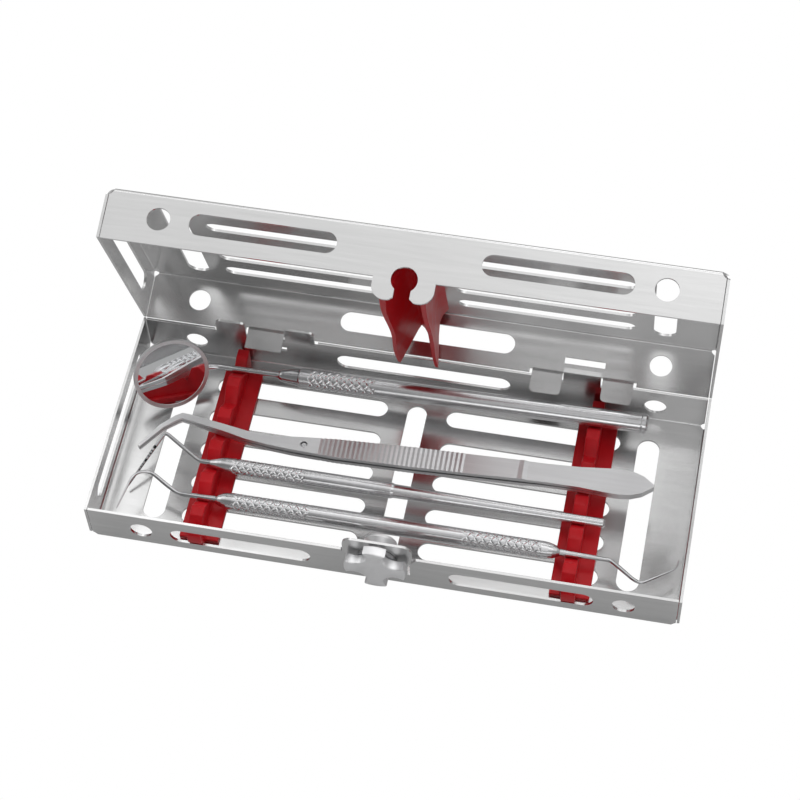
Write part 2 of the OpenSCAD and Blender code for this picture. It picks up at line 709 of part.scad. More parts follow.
module mirror_handle() color(steel) laid(0, mirror_left_r, mirror_right_r) {
    r = mirror_handle_d / 2;
    end = handle_at + mirror_handle_l - plug_l - plug_gap;
    spigot_r = r * plug_spigot_share;
    turned(concat([[0, handle_at], [r - handle_chamfer, handle_at], [r, handle_at + handle_chamfer]],
        rings(handle_at + mirror_knurl_at, mirror_rings, ring_pitch, r, ring_depth),
        [[r, end - handle_chamfer / 2], [r - handle_chamfer / 2, end], [spigot_r, end],
        [spigot_r, end - plug_spigot_l], [0, end - plug_spigot_l]]));
}

module mirror_end_plug() color(bright_steel) laid(0, mirror_left_r, mirror_right_r) {
    r = mirror_handle_d / 2;
    end = handle_at + mirror_handle_l;
    seat = end - plug_l - plug_gap;
    spigot_r = r * plug_spigot_share;
    turned([[0, seat - plug_spigot_l], [spigot_r, seat - plug_spigot_l],
        [spigot_r, end - plug_l], [r, end - plug_l], [r, end - handle_chamfer],
        [r - handle_chamfer, end], [0, end]]);
}

// Tweezers: local X runs along the arms from the left rail, local z is zero between the arms
module on_tweezers() {
    left_z = flat_seat_z(neck_w);
    right_z = flat_seat_z(tweezers_w);
    middle = arm_t + arm_gap / 2;
    translate([-rail_x, seat_y(tweezers_place) - tweezers_side, left_z + middle])
        rotate([0, -atan((right_z - left_z) / (2 * rail_x)), tweezers_yaw]) children();
}

// Left and right edges of the beak, square to its path
function beak_edge(i, side) =
    let (path = beak_path_shares * tweezers_l, last = len(path) - 1,
        before = path[max(i - 1, 0)], after = path[min(i + 1, last)],
        along = unit([after.x - before.x, after.y - before.y]))
    [path[i].x - side * along.y * path[i].z / 2, path[i].y + side * along.x * path[i].z / 2];

module arm_plan() {
    last = len(beak_path_shares) - 1;
    polygon(concat(
        [for (s = arm_outline_shares) if (s[0] * tweezers_tail_at >= beak_path_shares[0].x * tweezers_l)
            [s[0] * tweezers_tail_at, s[1] * tweezers_w / 2]],
        [for (i = [len(arm_outline_shares) - 1 : -1 : 0]) let (s = arm_outline_shares[i])
            if (s[0] * tweezers_tail_at >= beak_path_shares[0].x * tweezers_l)
            [s[0] * tweezers_tail_at, -s[1] * tweezers_w / 2]],
        [for (i = [0 : last]) beak_edge(i, 1)],
        [for (i = [last : -1 : 0]) beak_edge(i, -1)]));
}

// Upright section of the upper arm: ribs on the outer face, a gap under the inner one
module arm_section() {
    tip = -tweezers_l;
    tail = tweezers_tail_at;
    outer = arm_gap / 2 + arm_t;
    pitch = rib_zone_l / arm_ribs;
    ribs = [for (i = [0 : arm_ribs - 1], step = [0 : 1])
        [rib_zone_at + (i + step / 2) * pitch, outer - step * rib_depth]];
    polygon(concat([[tip, arm_tip_gap / 2], [0, arm_tip_gap / 2], [pin_at, arm_gap / 2],
        [ridge_at, arm_gap / 2], [tail - tail_contact, 0], [tail, 0],
        [tail, arm_t * 0.8], [ridge_at + arm_t, outer - ridge_step], [ridge_at, outer + ridge_step],
        [ridge_at - arm_t, outer]],
        [for (i = [len(ribs) - 1 : -1 : 0]) ribs[i]],
        [[pin_at, outer], [0, outer - arm_gap / 4], [tip / 8, arm_t * 0.7], [tip, arm_t * 0.6]]));
}

module upper_arm_solid() intersection() {
    linear_extrude(4 * arm_t, center = true) arm_plan();
    along_y(4 * tweezers_l) arm_section();
}

module tweezers_lower_arm() color(satin_steel) on_tweezers() difference() {
    mirror([0, 0, 1]) upper_arm_solid();
    translate([pin_at, 0, 0]) cylinder(h = 4 * arm_t, d = pin_d, center = true);
}

module tweezers_upper_arm() color(satin_steel) on_tweezers() difference() {
    upper_arm_solid();
    translate([pin_at, 0, 0]) cylinder(h = 4 * arm_t, d = pin_d + 2 * pin_play, center = true);
}

module tweezers_guide_pin() color(bright_steel) on_tweezers() {
    outer = arm_gap / 2 + arm_t;
    translate([pin_at, 0, -outer]) cylinder(h = 2 * outer - pin_recess, d = pin_d);
}

module on_probe() laid(probe_place, probe_cone_r, probe_tail_d / 2) children();

module probe_tip() color(bright_steel) on_probe() translate([probe_tip_at, 0, 0]) mirror([1, 0, 0])
    wire(concat([[0, 0, 0, probe_neck_r]], bent(probe_route_shares, probe_reach, probe_shank_r)));

module probe_grip() color(steel) on_probe() {
    r = probe_grip_d / 2;
    turned(concat([[0, probe_tip_at], [probe_neck_r, probe_tip_at],
        [r, probe_tip_at + probe_cone_l]],
        rings(probe_knurl_at, probe_rings, probe_ring_pitch, r, groove_depth),
        [[r, probe_joint_at], [0, probe_joint_at]]));
}

module probe_tail() color(steel) on_probe() turned([[0, probe_joint_at],
    [probe_grip_d / 2, probe_joint_at], [probe_tail_d / 2, 2 * rail_x - ridge_w],
    [probe_tail_d / 2, probe_l - handle_chamfer], [probe_tail_d / 2 - handle_chamfer, probe_l],
    [0, probe_l]]);

module on_explorer() laid(tooth_count - 1, explorer_neck_r, explorer_neck_r) children();

module explorer_handle() color(steel) on_explorer() {
    r = explorer_d / 2;
    end = explorer_at + explorer_l;
    knurl_l = explorer_rings * explorer_ring_pitch;
    turned(concat([[0, explorer_at], [explorer_neck_r, explorer_at],
        [r, explorer_at + explorer_cone_l]],
        rings(explorer_at + explorer_knurl_at, explorer_rings, explorer_ring_pitch, r, groove_depth),
        rings(end - explorer_knurl_at - knurl_l, explorer_rings, explorer_ring_pitch, r, groove_depth),
        [[r, end - explorer_cone_l], [explorer_neck_r, end], [0, end]]));
}

// Bent end of the explorer, its place given by the near end of the handle
module explorer_tip(shares, reach)
    wire(concat([[0, 0, 0, explorer_neck_r]], bent(shares, reach, explorer_shank_r)));

module explorer_left_tip() color(bright_steel) on_explorer() translate([explorer_at, 0, 0])
    mirror([1, 0, 0]) explorer_tip(left_route_shares, explorer_left_reach);

module explorer_right_tip() color(bright_steel) on_explorer()
    translate([explorer_at + explorer_l, 0, 0]) explorer_tip(right_route_shares, explorer_right_reach);

tray();
lid();
left_rail();
right_rail();
lid_cushion();
latch_knob();
latch_washer();
latch_shaft();
mirror_glass();
mirror_head();
mirror_stem();
mirror_handle();
mirror_end_plug();
tweezers_lower_arm();
tweezers_upper_arm();
tweezers_guide_pin();
probe_tip();
probe_grip();
probe_tail();
explorer_handle();
explorer_left_tip();
explorer_right_tip();
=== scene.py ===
# %% [markdown]
# # Dental instrument cassette
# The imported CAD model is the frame. This script gives it its looks: satin and brushed steel,
# red silicone, rolled knurling, a silvered mirror, and the camera and light of the photograph.

import math

import bmesh
import bpy
from mathutils import Matrix, Vector

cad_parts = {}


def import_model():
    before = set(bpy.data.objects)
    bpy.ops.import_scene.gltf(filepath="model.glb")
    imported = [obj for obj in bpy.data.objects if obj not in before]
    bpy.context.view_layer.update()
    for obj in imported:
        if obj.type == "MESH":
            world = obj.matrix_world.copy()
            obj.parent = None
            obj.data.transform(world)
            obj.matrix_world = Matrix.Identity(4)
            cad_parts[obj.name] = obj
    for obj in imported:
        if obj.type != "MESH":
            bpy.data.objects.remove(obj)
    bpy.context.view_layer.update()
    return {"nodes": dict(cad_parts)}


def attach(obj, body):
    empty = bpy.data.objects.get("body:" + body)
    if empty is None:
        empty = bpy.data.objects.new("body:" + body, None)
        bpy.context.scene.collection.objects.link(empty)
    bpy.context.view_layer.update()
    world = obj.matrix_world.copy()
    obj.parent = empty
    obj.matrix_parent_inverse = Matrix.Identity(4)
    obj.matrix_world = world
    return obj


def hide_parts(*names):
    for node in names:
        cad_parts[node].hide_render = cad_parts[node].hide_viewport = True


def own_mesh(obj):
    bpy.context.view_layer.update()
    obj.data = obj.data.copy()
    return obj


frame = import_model()
MM = 0.001

# %% [markdown]
# ## Camera
# The angles, distance and lens were solved from the tray's edges and corners in the photograph.

# %% Camera
AZIMUTH, ELEVATION, ROLL = math.radians(13.671), math.radians(56.756), math.radians(-3.124)
SENSOR, LENS = 36.0, 102.505
EYE = Vector((87.71, -358.25, 608.03)) * MM


def camera_frame():
    """Axes of the camera: right, up and back."""
    back = Vector((math.sin(AZIMUTH) * math.cos(ELEVATION),
                   -math.cos(AZIMUTH) * math.cos(ELEVATION), math.sin(ELEVATION)))
    level = Vector((0, 0, 1)).cross(back).normalized()
    up = back.cross(level)
    right = level * math.cos(ROLL) + up * math.sin(ROLL)
    return right, back.cross(right), back


right, up, back = camera_frame()
camera_data = bpy.data.cameras.new("photo_camera")
camera_data.sensor_width = SENSOR
camera_data.lens = LENS
camera_data.clip_end = 20
camera = bpy.data.objects.new("photo_camera", camera_data)
bpy.context.scene.collection.objects.link(camera)
camera.matrix_world = Matrix.Translation(EYE) @ Matrix((right, up, back)).transposed().to_4x4()
bpy.context.scene.camera = camera
bpy.context.scene.view_settings.view_transform = "Standard"
print("camera right", [round(v, 4) for v in right], "up", [round(v, 4) for v in up])

# %% [markdown]
# ## Sizes
# The instruments' seats and the cushion's section repeat the sizes of the CAD model, in
# millimetres, so that each dressed piece lies where its solid does.

# %% Sizes
TRAY_H, SHEET, HALF_D = 15.4, 0.8, 36.2
LID_OPEN = 73.1
PANEL_Z = 30.65
RAIL_X = 57.3
VALLEY, SEAT_GAP, TOOTH_RISE, TOOTH_FLAT = 6.5, 0.3, 3.9, 3.3
FIRST_SEAT, LAST_SEAT, SEATS = 26.223, -21.8, 5
SEAT_PITCH = (FIRST_SEAT - LAST_SEAT) / (SEATS - 1)
TOOTH_RUN = (SEAT_PITCH - TOOTH_FLAT) / 2
MIRROR_PLACE, PROBE_PLACE, EXPLORER_PLACE = 0, 3, 4
MIRROR_D, MIRROR_HANDLE_R, MIRROR_STEM_R = 24.2, 3.1, 1.05
PROBE_LEFT_R, PROBE_RIGHT_R, EXPLORER_NECK_R = 1.75, 1.5, 1.1


def seat_y(place):
    """Middle of a seat, counted from the hinge."""
    return FIRST_SEAT - place * SEAT_PITCH


def seat_z(radius):
    """Height at which a round piece lies in a seat."""
    return VALLEY + (radius + SEAT_GAP) / math.sin(math.atan2(TOOTH_RUN, TOOTH_RISE))


def laid(place, left_r, right_r):
    """Matrix from an instrument's own axis, x to the right from the left rail, to the frame."""
    left, right_end = seat_z(left_r), seat_z(right_r)
    tilt = -math.atan2(right_end - left, 2 * RAIL_X)
    return Matrix.Translation((-RAIL_X, seat_y(place), left)) @ Matrix.Rotation(tilt, 4, "Y")


def swung():
    """Matrix that opens the lid about the hinge line."""
    hinge = Vector((0, HALF_D, TRAY_H))
    return (Matrix.Translation(hinge) @ Matrix.Rotation(math.radians(-LID_OPEN), 4, "X")
            @ Matrix.Translation(-hinge))


ON_MIRROR = laid(MIRROR_PLACE, MIRROR_STEM_R, MIRROR_HANDLE_R)
ON_PROBE = laid(PROBE_PLACE, PROBE_LEFT_R, PROBE_RIGHT_R)
ON_EXPLORER = laid(EXPLORER_PLACE, EXPLORER_NECK_R, EXPLORER_NECK_R)
ON_LID = swung()

# %% [markdown]
# ## Mesh helpers

# %% Mesh helpers
FLAT_ANGLE, EDGE_ANGLE, SHARP_ANGLE = math.radians(0.4), math.radians(30), math.radians(20)
BEND_SHARE = 0.45


def add_mesh(name, points, faces, matrix=None, smooth=True):
    """New mesh object from points in millimetres."""
    mesh = bpy.data.meshes.new(name)
    moved = [(matrix @ Vector(p)) * MM if matrix else Vector(p) * MM for p in points]
    mesh.from_pydata(moved, [], faces)
    mesh.validate()
    obj = bpy.data.objects.new(name, mesh)
    bpy.context.scene.collection.objects.link(obj)
    work = bmesh.new()
    work.from_mesh(mesh)
    bmesh.ops.remove_doubles(work, verts=work.verts, dist=1e-7)
    bmesh.ops.recalc_face_normals(work, faces=work.faces)
    work.to_mesh(mesh)
    work.free()
    for face in mesh.polygons:
        face.use_smooth = smooth
    return obj


def crease(obj, degrees):
    """Smooth shading that breaks at edges sharper than the angle."""
    obj.data.polygons.foreach_set("use_smooth", [True] * len(obj.data.polygons))
    obj.data.set_sharp_from_angle(angle=math.radians(degrees))


def bevel(obj, width):
    """Joins an object's flat faces and rounds its edges by a width in millimetres."""
    flat = obj.modifiers.new("join_flats", "DECIMATE")
    flat.decimate_type = "DISSOLVE"
    flat.angle_limit = FLAT_ANGLE
    edge = obj.modifiers.new("round_edges", "BEVEL")
    edge.width = width * MM
    edge.segments = 2
    edge.limit_method = "ANGLE"
    edge.angle_limit = EDGE_ANGLE
    edge.miter_outer = "MITER_ARC"
    edge.harden_normals = True


def rings_mesh(name, rings, matrix=None):
    """Closed skin through rings of points, each ring with as many points."""
    count = len(rings[0])
    points = [p for ring in rings for p in ring]
    faces = [tuple(range(count))]
    for i in range(len(rings) - 1):
        for k in range(count):
            a, b = i * count + k, i * count + (k + 1) % count
            faces.append((a, a + count, b + count, b))
    faces.append(tuple(reversed(range(len(points) - count, len(points)))))
    return add_mesh(name, points, faces, matrix)


def turned(name, profile, matrix, sides, cut_depth):
    """Solid turned about x from (x, radius) pairs, less a depth for each x and angle."""
    rings = []
    for x, radius in profile:
        ring = []
        for k in range(sides):
            angle = 2 * math.pi * k / sides
            r = radius - cut_depth(x, angle)
            ring.append((x, r * math.cos(angle), r * math.sin(angle)))
        rings.append(ring)
    return rings_mesh(name, rings, matrix)


def filled(profile, step):
    """The profile with extra points along its long stretches."""
    out = [profile[0]]
    for (x0, r0), (x1, r1) in zip(profile, profile[1:]):
        n = max(1, math.ceil(abs(x1 - x0) / step))
        out += [(x0 + (x1 - x0) * i / n, r0 + (r1 - r0) * i / n) for i in range(1, n + 1)]
    return out


def wire(name, points, matrix=None, bend=1.6, steps=8, sides=28):
    """Bent wire through points of place and radius, with corners rounded over the bend."""
    def toward(b, a):
        return b.lerp(a, min(BEND_SHARE, bend / (a - b).to_3d().length))

    route = [Vector(p) for p in points]
    path = [route[0]]
    for a, b, c in zip(route, route[1:], route[2:]):
        for s in range(steps + 1):
            t = s / steps
            path.append(toward(b, a).lerp(b, t).lerp(b.lerp(toward(b, c), t), t))
    path.append(route[-1])
    rings, along, total = [], [], 0.0
    for i, p in enumerate(path):
        ahead = (path[min(i + 1, len(path) - 1)] - path[max(i - 1, 0)]).to_3d().normalized()
        side = ahead.cross(Vector((0, 0, 1))).normalized()
        rise = side.cross(ahead)
        total += (p - path[max(i - 1, 0)]).to_3d().length
        along += [total] * sides
        rings.append([p.to_3d() + p[3] * (side * math.cos(2 * math.pi * k / sides)
                                          + rise * math.sin(2 * math.pi * k / sides))
                      for k in range(sides)])
    obj = rings_mesh(name, rings, matrix)
    if len(obj.data.vertices) == len(along):
        layer = obj.data.attributes.new("along", "FLOAT", "POINT")
        layer.data.foreach_set("value", [total - v for v in along])
    crease(obj, 50)
    return obj


# %% [markdown]
# ## Materials
# Node groups hold what several materials share: the grain of rolled and brushed steel, and
# smudges that change the gloss. They give values and normals, and each material keeps its own
# surface shader.

# %% Node helpers
BUMP_HEIGHT = 0.00002


def link_in(tree, node, name, value):
    """Links a socket to an input, or sets the input to a plain value."""
    socket = node.inputs[name]
    if isinstance(value, bpy.types.NodeSocket):
        tree.links.new(value, socket)
    else:
        socket.default_value = value


def add_node(tree, kind, inputs=None, **settings):
    """New node with its settings made and its inputs linked or set."""
    node = tree.nodes.new(kind)
    for key, value in settings.items():
        setattr(node, key, value)
    for name, value in (inputs or {}).items():
        link_in(tree, node, name, value)
    return node


def group(name, inputs, outputs):
    """Empty node group with float inputs and named outputs."""
    tree = bpy.data.node_groups.new(name, "ShaderNodeTree")
    for label, default in inputs.items():
        socket = tree.interface.new_socket(label, in_out="INPUT", socket_type="NodeSocketFloat")
        socket.default_value = default
    for label, kind in outputs.items():
        tree.interface.new_socket(label, in_out="OUTPUT", socket_type=kind)
    return tree, tree.nodes.new("NodeGroupInput"), tree.nodes.new("NodeGroupOutput")


def grain_group():
    """Fine streaks across the object, with a cloudy mask: roughness, tint and normal."""
    tree, start, end = group("steel_grain",
                             {"Roughness": 0.3, "Streak X": 20.0, "Streak Y": 900.0,
                              "Streak Z": 900.0, "Depth": 0.1},
                             {"Roughness": "NodeSocketFloat", "Tint": "NodeSocketFloat",
                              "Normal": "NodeSocketVector"})
    where = add_node(tree, "ShaderNodeTexCoord").outputs["Object"]
    scale = add_node(tree, "ShaderNodeCombineXYZ", {"X": start.outputs["Streak X"],
                                                    "Y": start.outputs["Streak Y"],
                                                    "Z": start.outputs["Streak Z"]})
    stretched = add_node(tree, "ShaderNodeVectorMath", {0: where, 1: scale.outputs[0]},
                         operation="MULTIPLY")
    streaks = add_node(tree, "ShaderNodeTexNoise", {"Vector": stretched.outputs[0], "Scale": 1.0,
                                                    "Detail": 4.0, "Roughness": 0.6})
    clouds = add_node(tree, "ShaderNodeTexNoise", {"Vector": where, "Scale": 46.0,
                                                   "Detail": 3.0, "Roughness": 0.55})
    fine = add_node(tree, "ShaderNodeTexNoise", {"Vector": where, "Scale": 900.0, "Detail": 2.0})
    spread = add_node(tree, "ShaderNodeMapRange", {"Value": clouds.outputs["Fac"],
                                                   "From Min": 0.3, "From Max": 0.7,
                                                   "To Min": -0.05, "To Max": 0.05})
    rough = add_node(tree, "ShaderNodeMath", {0: start.outputs["Roughness"],
                                              1: spread.outputs["Result"]}, operation="ADD")
    tint = add_node(tree, "ShaderNodeMapRange", {"Value": streaks.outputs["Fac"],
                                                 "From Min": 0.3, "From Max": 0.7,
                                                 "To Min": 0.93, "To Max": 1.0})
    height = add_node(tree, "ShaderNodeMath", {0: streaks.outputs["Fac"],
                                               1: fine.outputs["Fac"]}, operation="ADD")
    bump = add_node(tree, "ShaderNodeBump", {"Height": height.outputs[0],
                                             "Distance": BUMP_HEIGHT,
                                             "Strength": start.outputs["Depth"]})
    link_in(tree, end, "Roughness", rough.outputs[0])
    link_in(tree, end, "Tint", tint.outputs["Result"])
    link_in(tree, end, "Normal", bump.outputs[0])
    return tree


GRAIN = grain_group()


def new_material(name):
    material = bpy.data.materials.new(name)
    material.use_nodes = True
    tree = material.node_tree
    return material, tree, tree.nodes["Principled BSDF"]


MARKED_L, FINE_MARK, MARK_TONE = 16.0, 0.22, 0.06


def probe_marks():
    """Edges of the probe's dark marks, from its point: fine ones, and broad ones up to each 5."""
    edges = []
    for mm in range(1, 15):
        if mm % 5 == 4:
            edges += [mm, mm + 1.0]
        elif mm % 5:
            edges += [mm - FINE_MARK, mm + FINE_MARK]
    return edges


def steel(name, color, roughness, streak, depth, marks=None):
    """Stainless steel with streaks along the axis whose number is low, and dark marks if asked."""
    material, tree, shader = new_material(name)
    shader.inputs["Metallic"].default_value = 1.0
    grain = add_node(tree, "ShaderNodeGroup", node_tree=GRAIN)
    for label, value in zip(("Roughness", "Streak X", "Streak Y", "Streak Z", "Depth"),
                            (roughness, *streak, depth)):
        grain.inputs[label].default_value = value
    shade = add_node(tree, "ShaderNodeVectorMath", {0: color, "Scale": grain.outputs["Tint"]},
                     operation="SCALE")
    base = shade.outputs[0]
    if marks:
        along = add_node(tree, "ShaderNodeAttribute", attribute_name="along").outputs["Fac"]
        ramp = add_node(tree, "ShaderNodeValToRGB",
                        {"Fac": add_node(tree, "ShaderNodeMath", {0: along, 1: MARKED_L},
                                         operation="DIVIDE").outputs[0]})
        ramp.color_ramp.interpolation = "CONSTANT"
        while len(ramp.color_ramp.elements) > 1:
            ramp.color_ramp.elements.remove(ramp.color_ramp.elements[0])
        ramp.color_ramp.elements[0].position = 0
        ramp.color_ramp.elements[0].color = (1, 1, 1, 1)
        for i, edge in enumerate(marks):
            stop = ramp.color_ramp.elements.new(edge / MARKED_L)
            stop.color = (MARK_TONE, MARK_TONE, MARK_TONE, 1) if i % 2 == 0 else (1, 1, 1, 1)
        base = add_node(tree, "ShaderNodeVectorMath", {0: base, 1: ramp.outputs["Color"]},
                        operation="MULTIPLY").outputs[0]
    link_in(tree, shader, "Base Color", base)
    link_in(tree, shader, "Roughness", grain.outputs["Roughness"])
    link_in(tree, shader, "Normal", grain.outputs["Normal"])
    return material


def silicone():
    """Smooth moulded silicone: deep red with a soft sheen and faint mottling."""
    material, tree, shader = new_material("red_silicone")
    where = add_node(tree, "ShaderNodeTexCoord").outputs["Object"]
    mottle = add_node(tree, "ShaderNodeTexNoise", {"Vector": where, "Scale": 160.0,
                                                   "Detail": 4.0})
    color = add_node(tree, "ShaderNodeValToRGB", {"Fac": mottle.outputs["Fac"]})
    color.color_ramp.elements[0].position = 0.3
    color.color_ramp.elements[0].color = (0.56, 0.006, 0.012, 1)
    color.color_ramp.elements[1].position = 0.7
    color.color_ramp.elements[1].color = (0.66, 0.010, 0.018, 1)
    rough = add_node(tree, "ShaderNodeMapRange", {"Value": mottle.outputs["Fac"],
                                                  "From Min": 0.3, "From Max": 0.7,
                                                  "To Min": 0.30, "To Max": 0.42})
    skin = add_node(tree, "ShaderNodeTexNoise", {"Vector": where, "Scale": 1400.0, "Detail": 2.0})
    bump = add_node(tree, "ShaderNodeBump", {"Height": skin.outputs["Fac"], "Strength": 0.15,
                                             "Distance": BUMP_HEIGHT})
    link_in(tree, shader, "Base Color", color.outputs["Color"])
    link_in(tree, shader, "Roughness", rough.outputs["Result"])
    link_in(tree, shader, "Normal", bump.outputs[0])
    shader.inputs["Subsurface Weight"].default_value = 0.12
    shader.inputs["Subsurface Radius"].default_value = (0.0012, 0.0003, 0.0003)
    shader.inputs["Specular IOR Level"].default_value = 0.25
    return material


def mirror_glass():
    """Silvered glass with the faintest wiping marks."""
    material, tree, shader = new_material("mirror_silver")
    where = add_node(tree, "ShaderNodeTexCoord").outputs["Object"]
    marks = add_node(tree, "ShaderNodeTexNoise", {"Vector": where, "Scale": 120.0, "Detail": 3.0})
    rough = add_node(tree, "ShaderNodeMapRange", {"Value": marks.outputs["Fac"],
                                                  "From Min": 0.4, "From Max": 0.8,
                                                  "To Min": 0.02, "To Max": 0.06})
    shader.inputs["Base Color"].default_value = (0.80, 0.81, 0.82, 1)
    shader.inputs["Metallic"].default_value = 1.0
    link_in(tree, shader, "Roughness", rough.outputs["Result"])
    return material


SHEET_STEEL = steel("satin_sheet", (0.70, 0.70, 0.70), 0.22, (40.0, 700.0, 700.0), 0.12)
KNOB_STEEL = steel("tumbled_steel", (0.90, 0.90, 0.91), 0.42, (300.0, 300.0, 300.0), 0.06)
DARK_STEEL = steel("washer_steel", (0.50, 0.50, 0.51), 0.36, (300.0, 300.0, 300.0), 0.08)
HANDLE_STEEL = steel("turned_steel", (0.70, 0.70, 0.71), 0.22, (1500.0, 30.0, 30.0), 0.10)
TIP_STEEL = steel("polished_steel", (0.60, 0.60, 0.61), 0.16, (600.0, 60.0, 60.0), 0.05)
TWEEZERS_STEEL = steel("matt_steel", (0.74, 0.74, 0.75), 0.38, (30.0, 900.0, 900.0), 0.14)
BAND_STEEL = steel("banded_steel", (0.60, 0.60, 0.61), 0.2, (600.0, 60.0, 60.0), 0.05,
                   probe_marks())
SILICONE = silicone()
MIRROR = mirror_glass()


def dress(obj, material, body, slot, *replaced):
    """Gives a new piece its finish and body, and hides what it stands for. The slot is not used.
    """
    obj.data.materials.clear()
    obj.data.materials.append(material)
    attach(obj, body)
    if replaced:
        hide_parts(*replaced)


# %% [markdown]
# ## Carried CAD nodes
# Tray, lid, washer, the mirror's glass, head and plug, the tweezers and the probe's tail keep
# their exact solids. A width, in millimetres, rounds their edges, and 0 leaves them crisp.

# %% Carried CAD nodes
CARRIED = {
    "tray": (SHEET_STEEL, 0), "lid": (SHEET_STEEL, 0),
    "latch_washer": (DARK_STEEL, 0.12),
    "mirror_glass": (MIRROR, 0), "mirror_head": (TWEEZERS_STEEL, 0.2),
    "mirror_end_plug": (HANDLE_STEEL, 0.1),
    "tweezers_lower_arm": (TWEEZERS_STEEL, 0.16), "tweezers_upper_arm": (TWEEZERS_STEEL, 0.16),
    "tweezers_guide_pin": (TIP_STEEL, 0.1), "probe_tail": (HANDLE_STEEL, 0.1),
}
for name, (material, width) in CARRIED.items():
    node = frame["nodes"][name]
    node.data.materials.clear()
    node.data.materials.append(material)
    crease(node, 28)
    if width:
        bevel(node, width)

# %% [markdown]
# ## Latch knob and shaft
# Seen closely, the knob has four lobes with wide scallops between them, and sits close to its
# washer. Its shaft is drawn with it, so that it stays inside the knob.

# %% Latch knob
LATCH_Z, KNOB_R, SCALLOP_R, SCALLOP_AT = 15.6, 9.4, 3.8, 8.9
LOBES, LOBE_STEPS, SCALLOP_STEPS = 4, 6, 12
KNOB_FACE, KNOB_BACK = -41.8, -38.4
SHAFT_R, SHAFT_FLAT, HEAD_R, SHAFT_SIDES = 3.75, 2.2, 5.1, 96
SHAFT_START, FLATS_START, FLATS_END = -41.0, -36.6, -35.0
HEAD_START, HEAD_RIM, HEAD_END, DISH_END = -32.6, -31.9, -31.5, -32.9
UNCUT = 9  # past the head's radius, so that no flat is cut


def knob_outline(shrink):
    """Points around the knob, drawn in by shrink."""
    outer, bite = KNOB_R - shrink, SCALLOP_R + shrink
    reach = math.acos((outer ** 2 + SCALLOP_AT ** 2 - bite ** 2) / (2 * outer * SCALLOP_AT))
    edge = math.atan2(outer * math.sin(reach), SCALLOP_AT - outer * math.cos(reach))
    points = []
    for lobe in range(LOBES):
        axis = lobe * 2 * math.pi / LOBES
        span = math.pi / LOBES - reach
        for i in range(-LOBE_STEPS, LOBE_STEPS):
            a = axis + span * i / LOBE_STEPS
            points.append((outer * math.cos(a), outer * math.sin(a)))
        center = axis + math.pi / LOBES
        for i in range(2 * SCALLOP_STEPS + 1):
            a = center + math.pi + edge * (1 - i / SCALLOP_STEPS)
            points.append((SCALLOP_AT * math.cos(center) + bite * math.cos(a),
                           SCALLOP_AT * math.sin(center) + bite * math.sin(a)))
    return points


def knob():
    """Knob from back to face, each ring drawn in where the edges are rounded."""
    plan = ((KNOB_BACK, 0.45), (KNOB_BACK - 0.12, 0.2), (KNOB_BACK - 0.4, 0.0),
            (KNOB_FACE + 0.5, 0.0), (KNOB_FACE + 0.3, 0.06), (KNOB_FACE + 0.12, 0.2),
            (KNOB_FACE, 0.5))
    rings = [[(x, y, LATCH_Z + z) for x, z in knob_outline(shrink)] for y, shrink in plan]
    return rings_mesh("lobed_knob", rings)


def flatted(y, radius, half):
    """Circle cut flat at half to the left and right."""
    return [(max(-half, min(half, radius * math.cos(a))), y, LATCH_Z + radius * math.sin(a))
            for a in (2 * math.pi * k / SHAFT_SIDES for k in range(SHAFT_SIDES))]


def shaft():
    """Shaft from inside the knob over its two flats to the dished head."""
    plan = [(SHAFT_START, SHAFT_R, UNCUT), (FLATS_START, SHAFT_R, UNCUT),
            (FLATS_START, SHAFT_R, SHAFT_FLAT), (FLATS_END, SHAFT_R, SHAFT_FLAT),
            (FLATS_END, SHAFT_R, UNCUT), (HEAD_START, HEAD_R, UNCUT), (HEAD_RIM, HEAD_R, UNCUT),
            (HEAD_END - 0.1, HEAD_R - 0.12, UNCUT), (HEAD_END, HEAD_R - 0.4, UNCUT),
            (HEAD_END, HEAD_R - 0.8, UNCUT), (DISH_END, 0.05, UNCUT)]
    return rings_mesh("flatted_shaft", [flatted(*step) for step in plan])


for piece, cad in ((knob(), "latch_knob"), (shaft(), "latch_shaft")):
    crease(piece, 25)
    dress(piece, KNOB_STEEL, "latch", "latch_steel", cad)

# %% [markdown]
# ## Silicone rails and lid cushion

# %% Rails


def prism(work, outline, x0, x1):
    """Adds a prism along x over an outline of (y, z) points."""
    low = [work.verts.new((x0, y, z)) for y, z in outline]
    high = [work.verts.new((x1, y, z)) for y, z in outline]
    work.faces.new(list(reversed(low)))
    work.faces.new(high)
    for i in range(len(outline)):
        j = (i + 1) % len(outline)
        work.faces.new((low[i], low[j], high[j], high[i]))


def rounded_solid(name, outline, center, thickness, rounding):
    """Prism along x over an outline of (y, z) points, with its edges rounded, in millimetres."""
    work = bmesh.new()
    prism(work, outline, center - thickness / 2, center + thickness / 2)
    bmesh.ops.recalc_face_normals(work, faces=work.faces)
    sharp = [e for e in work.edges if len(e.link_faces) == 2
             and e.calc_face_angle(0) > SHARP_ANGLE]
    bmesh.ops.bevel(work, geom=sharp, offset=rounding, segments=3, profile=0.5,
                    affect="EDGES", clamp_overlap=True)
    for v in work.verts:
        v.co *= MM
    mesh = bpy.data.meshes.new(name)
    work.to_mesh(mesh)
    work.free()
    obj = bpy.data.objects.new(name, mesh)
    bpy.context.scene.collection.objects.link(obj)
    crease(obj, 40)
    return obj


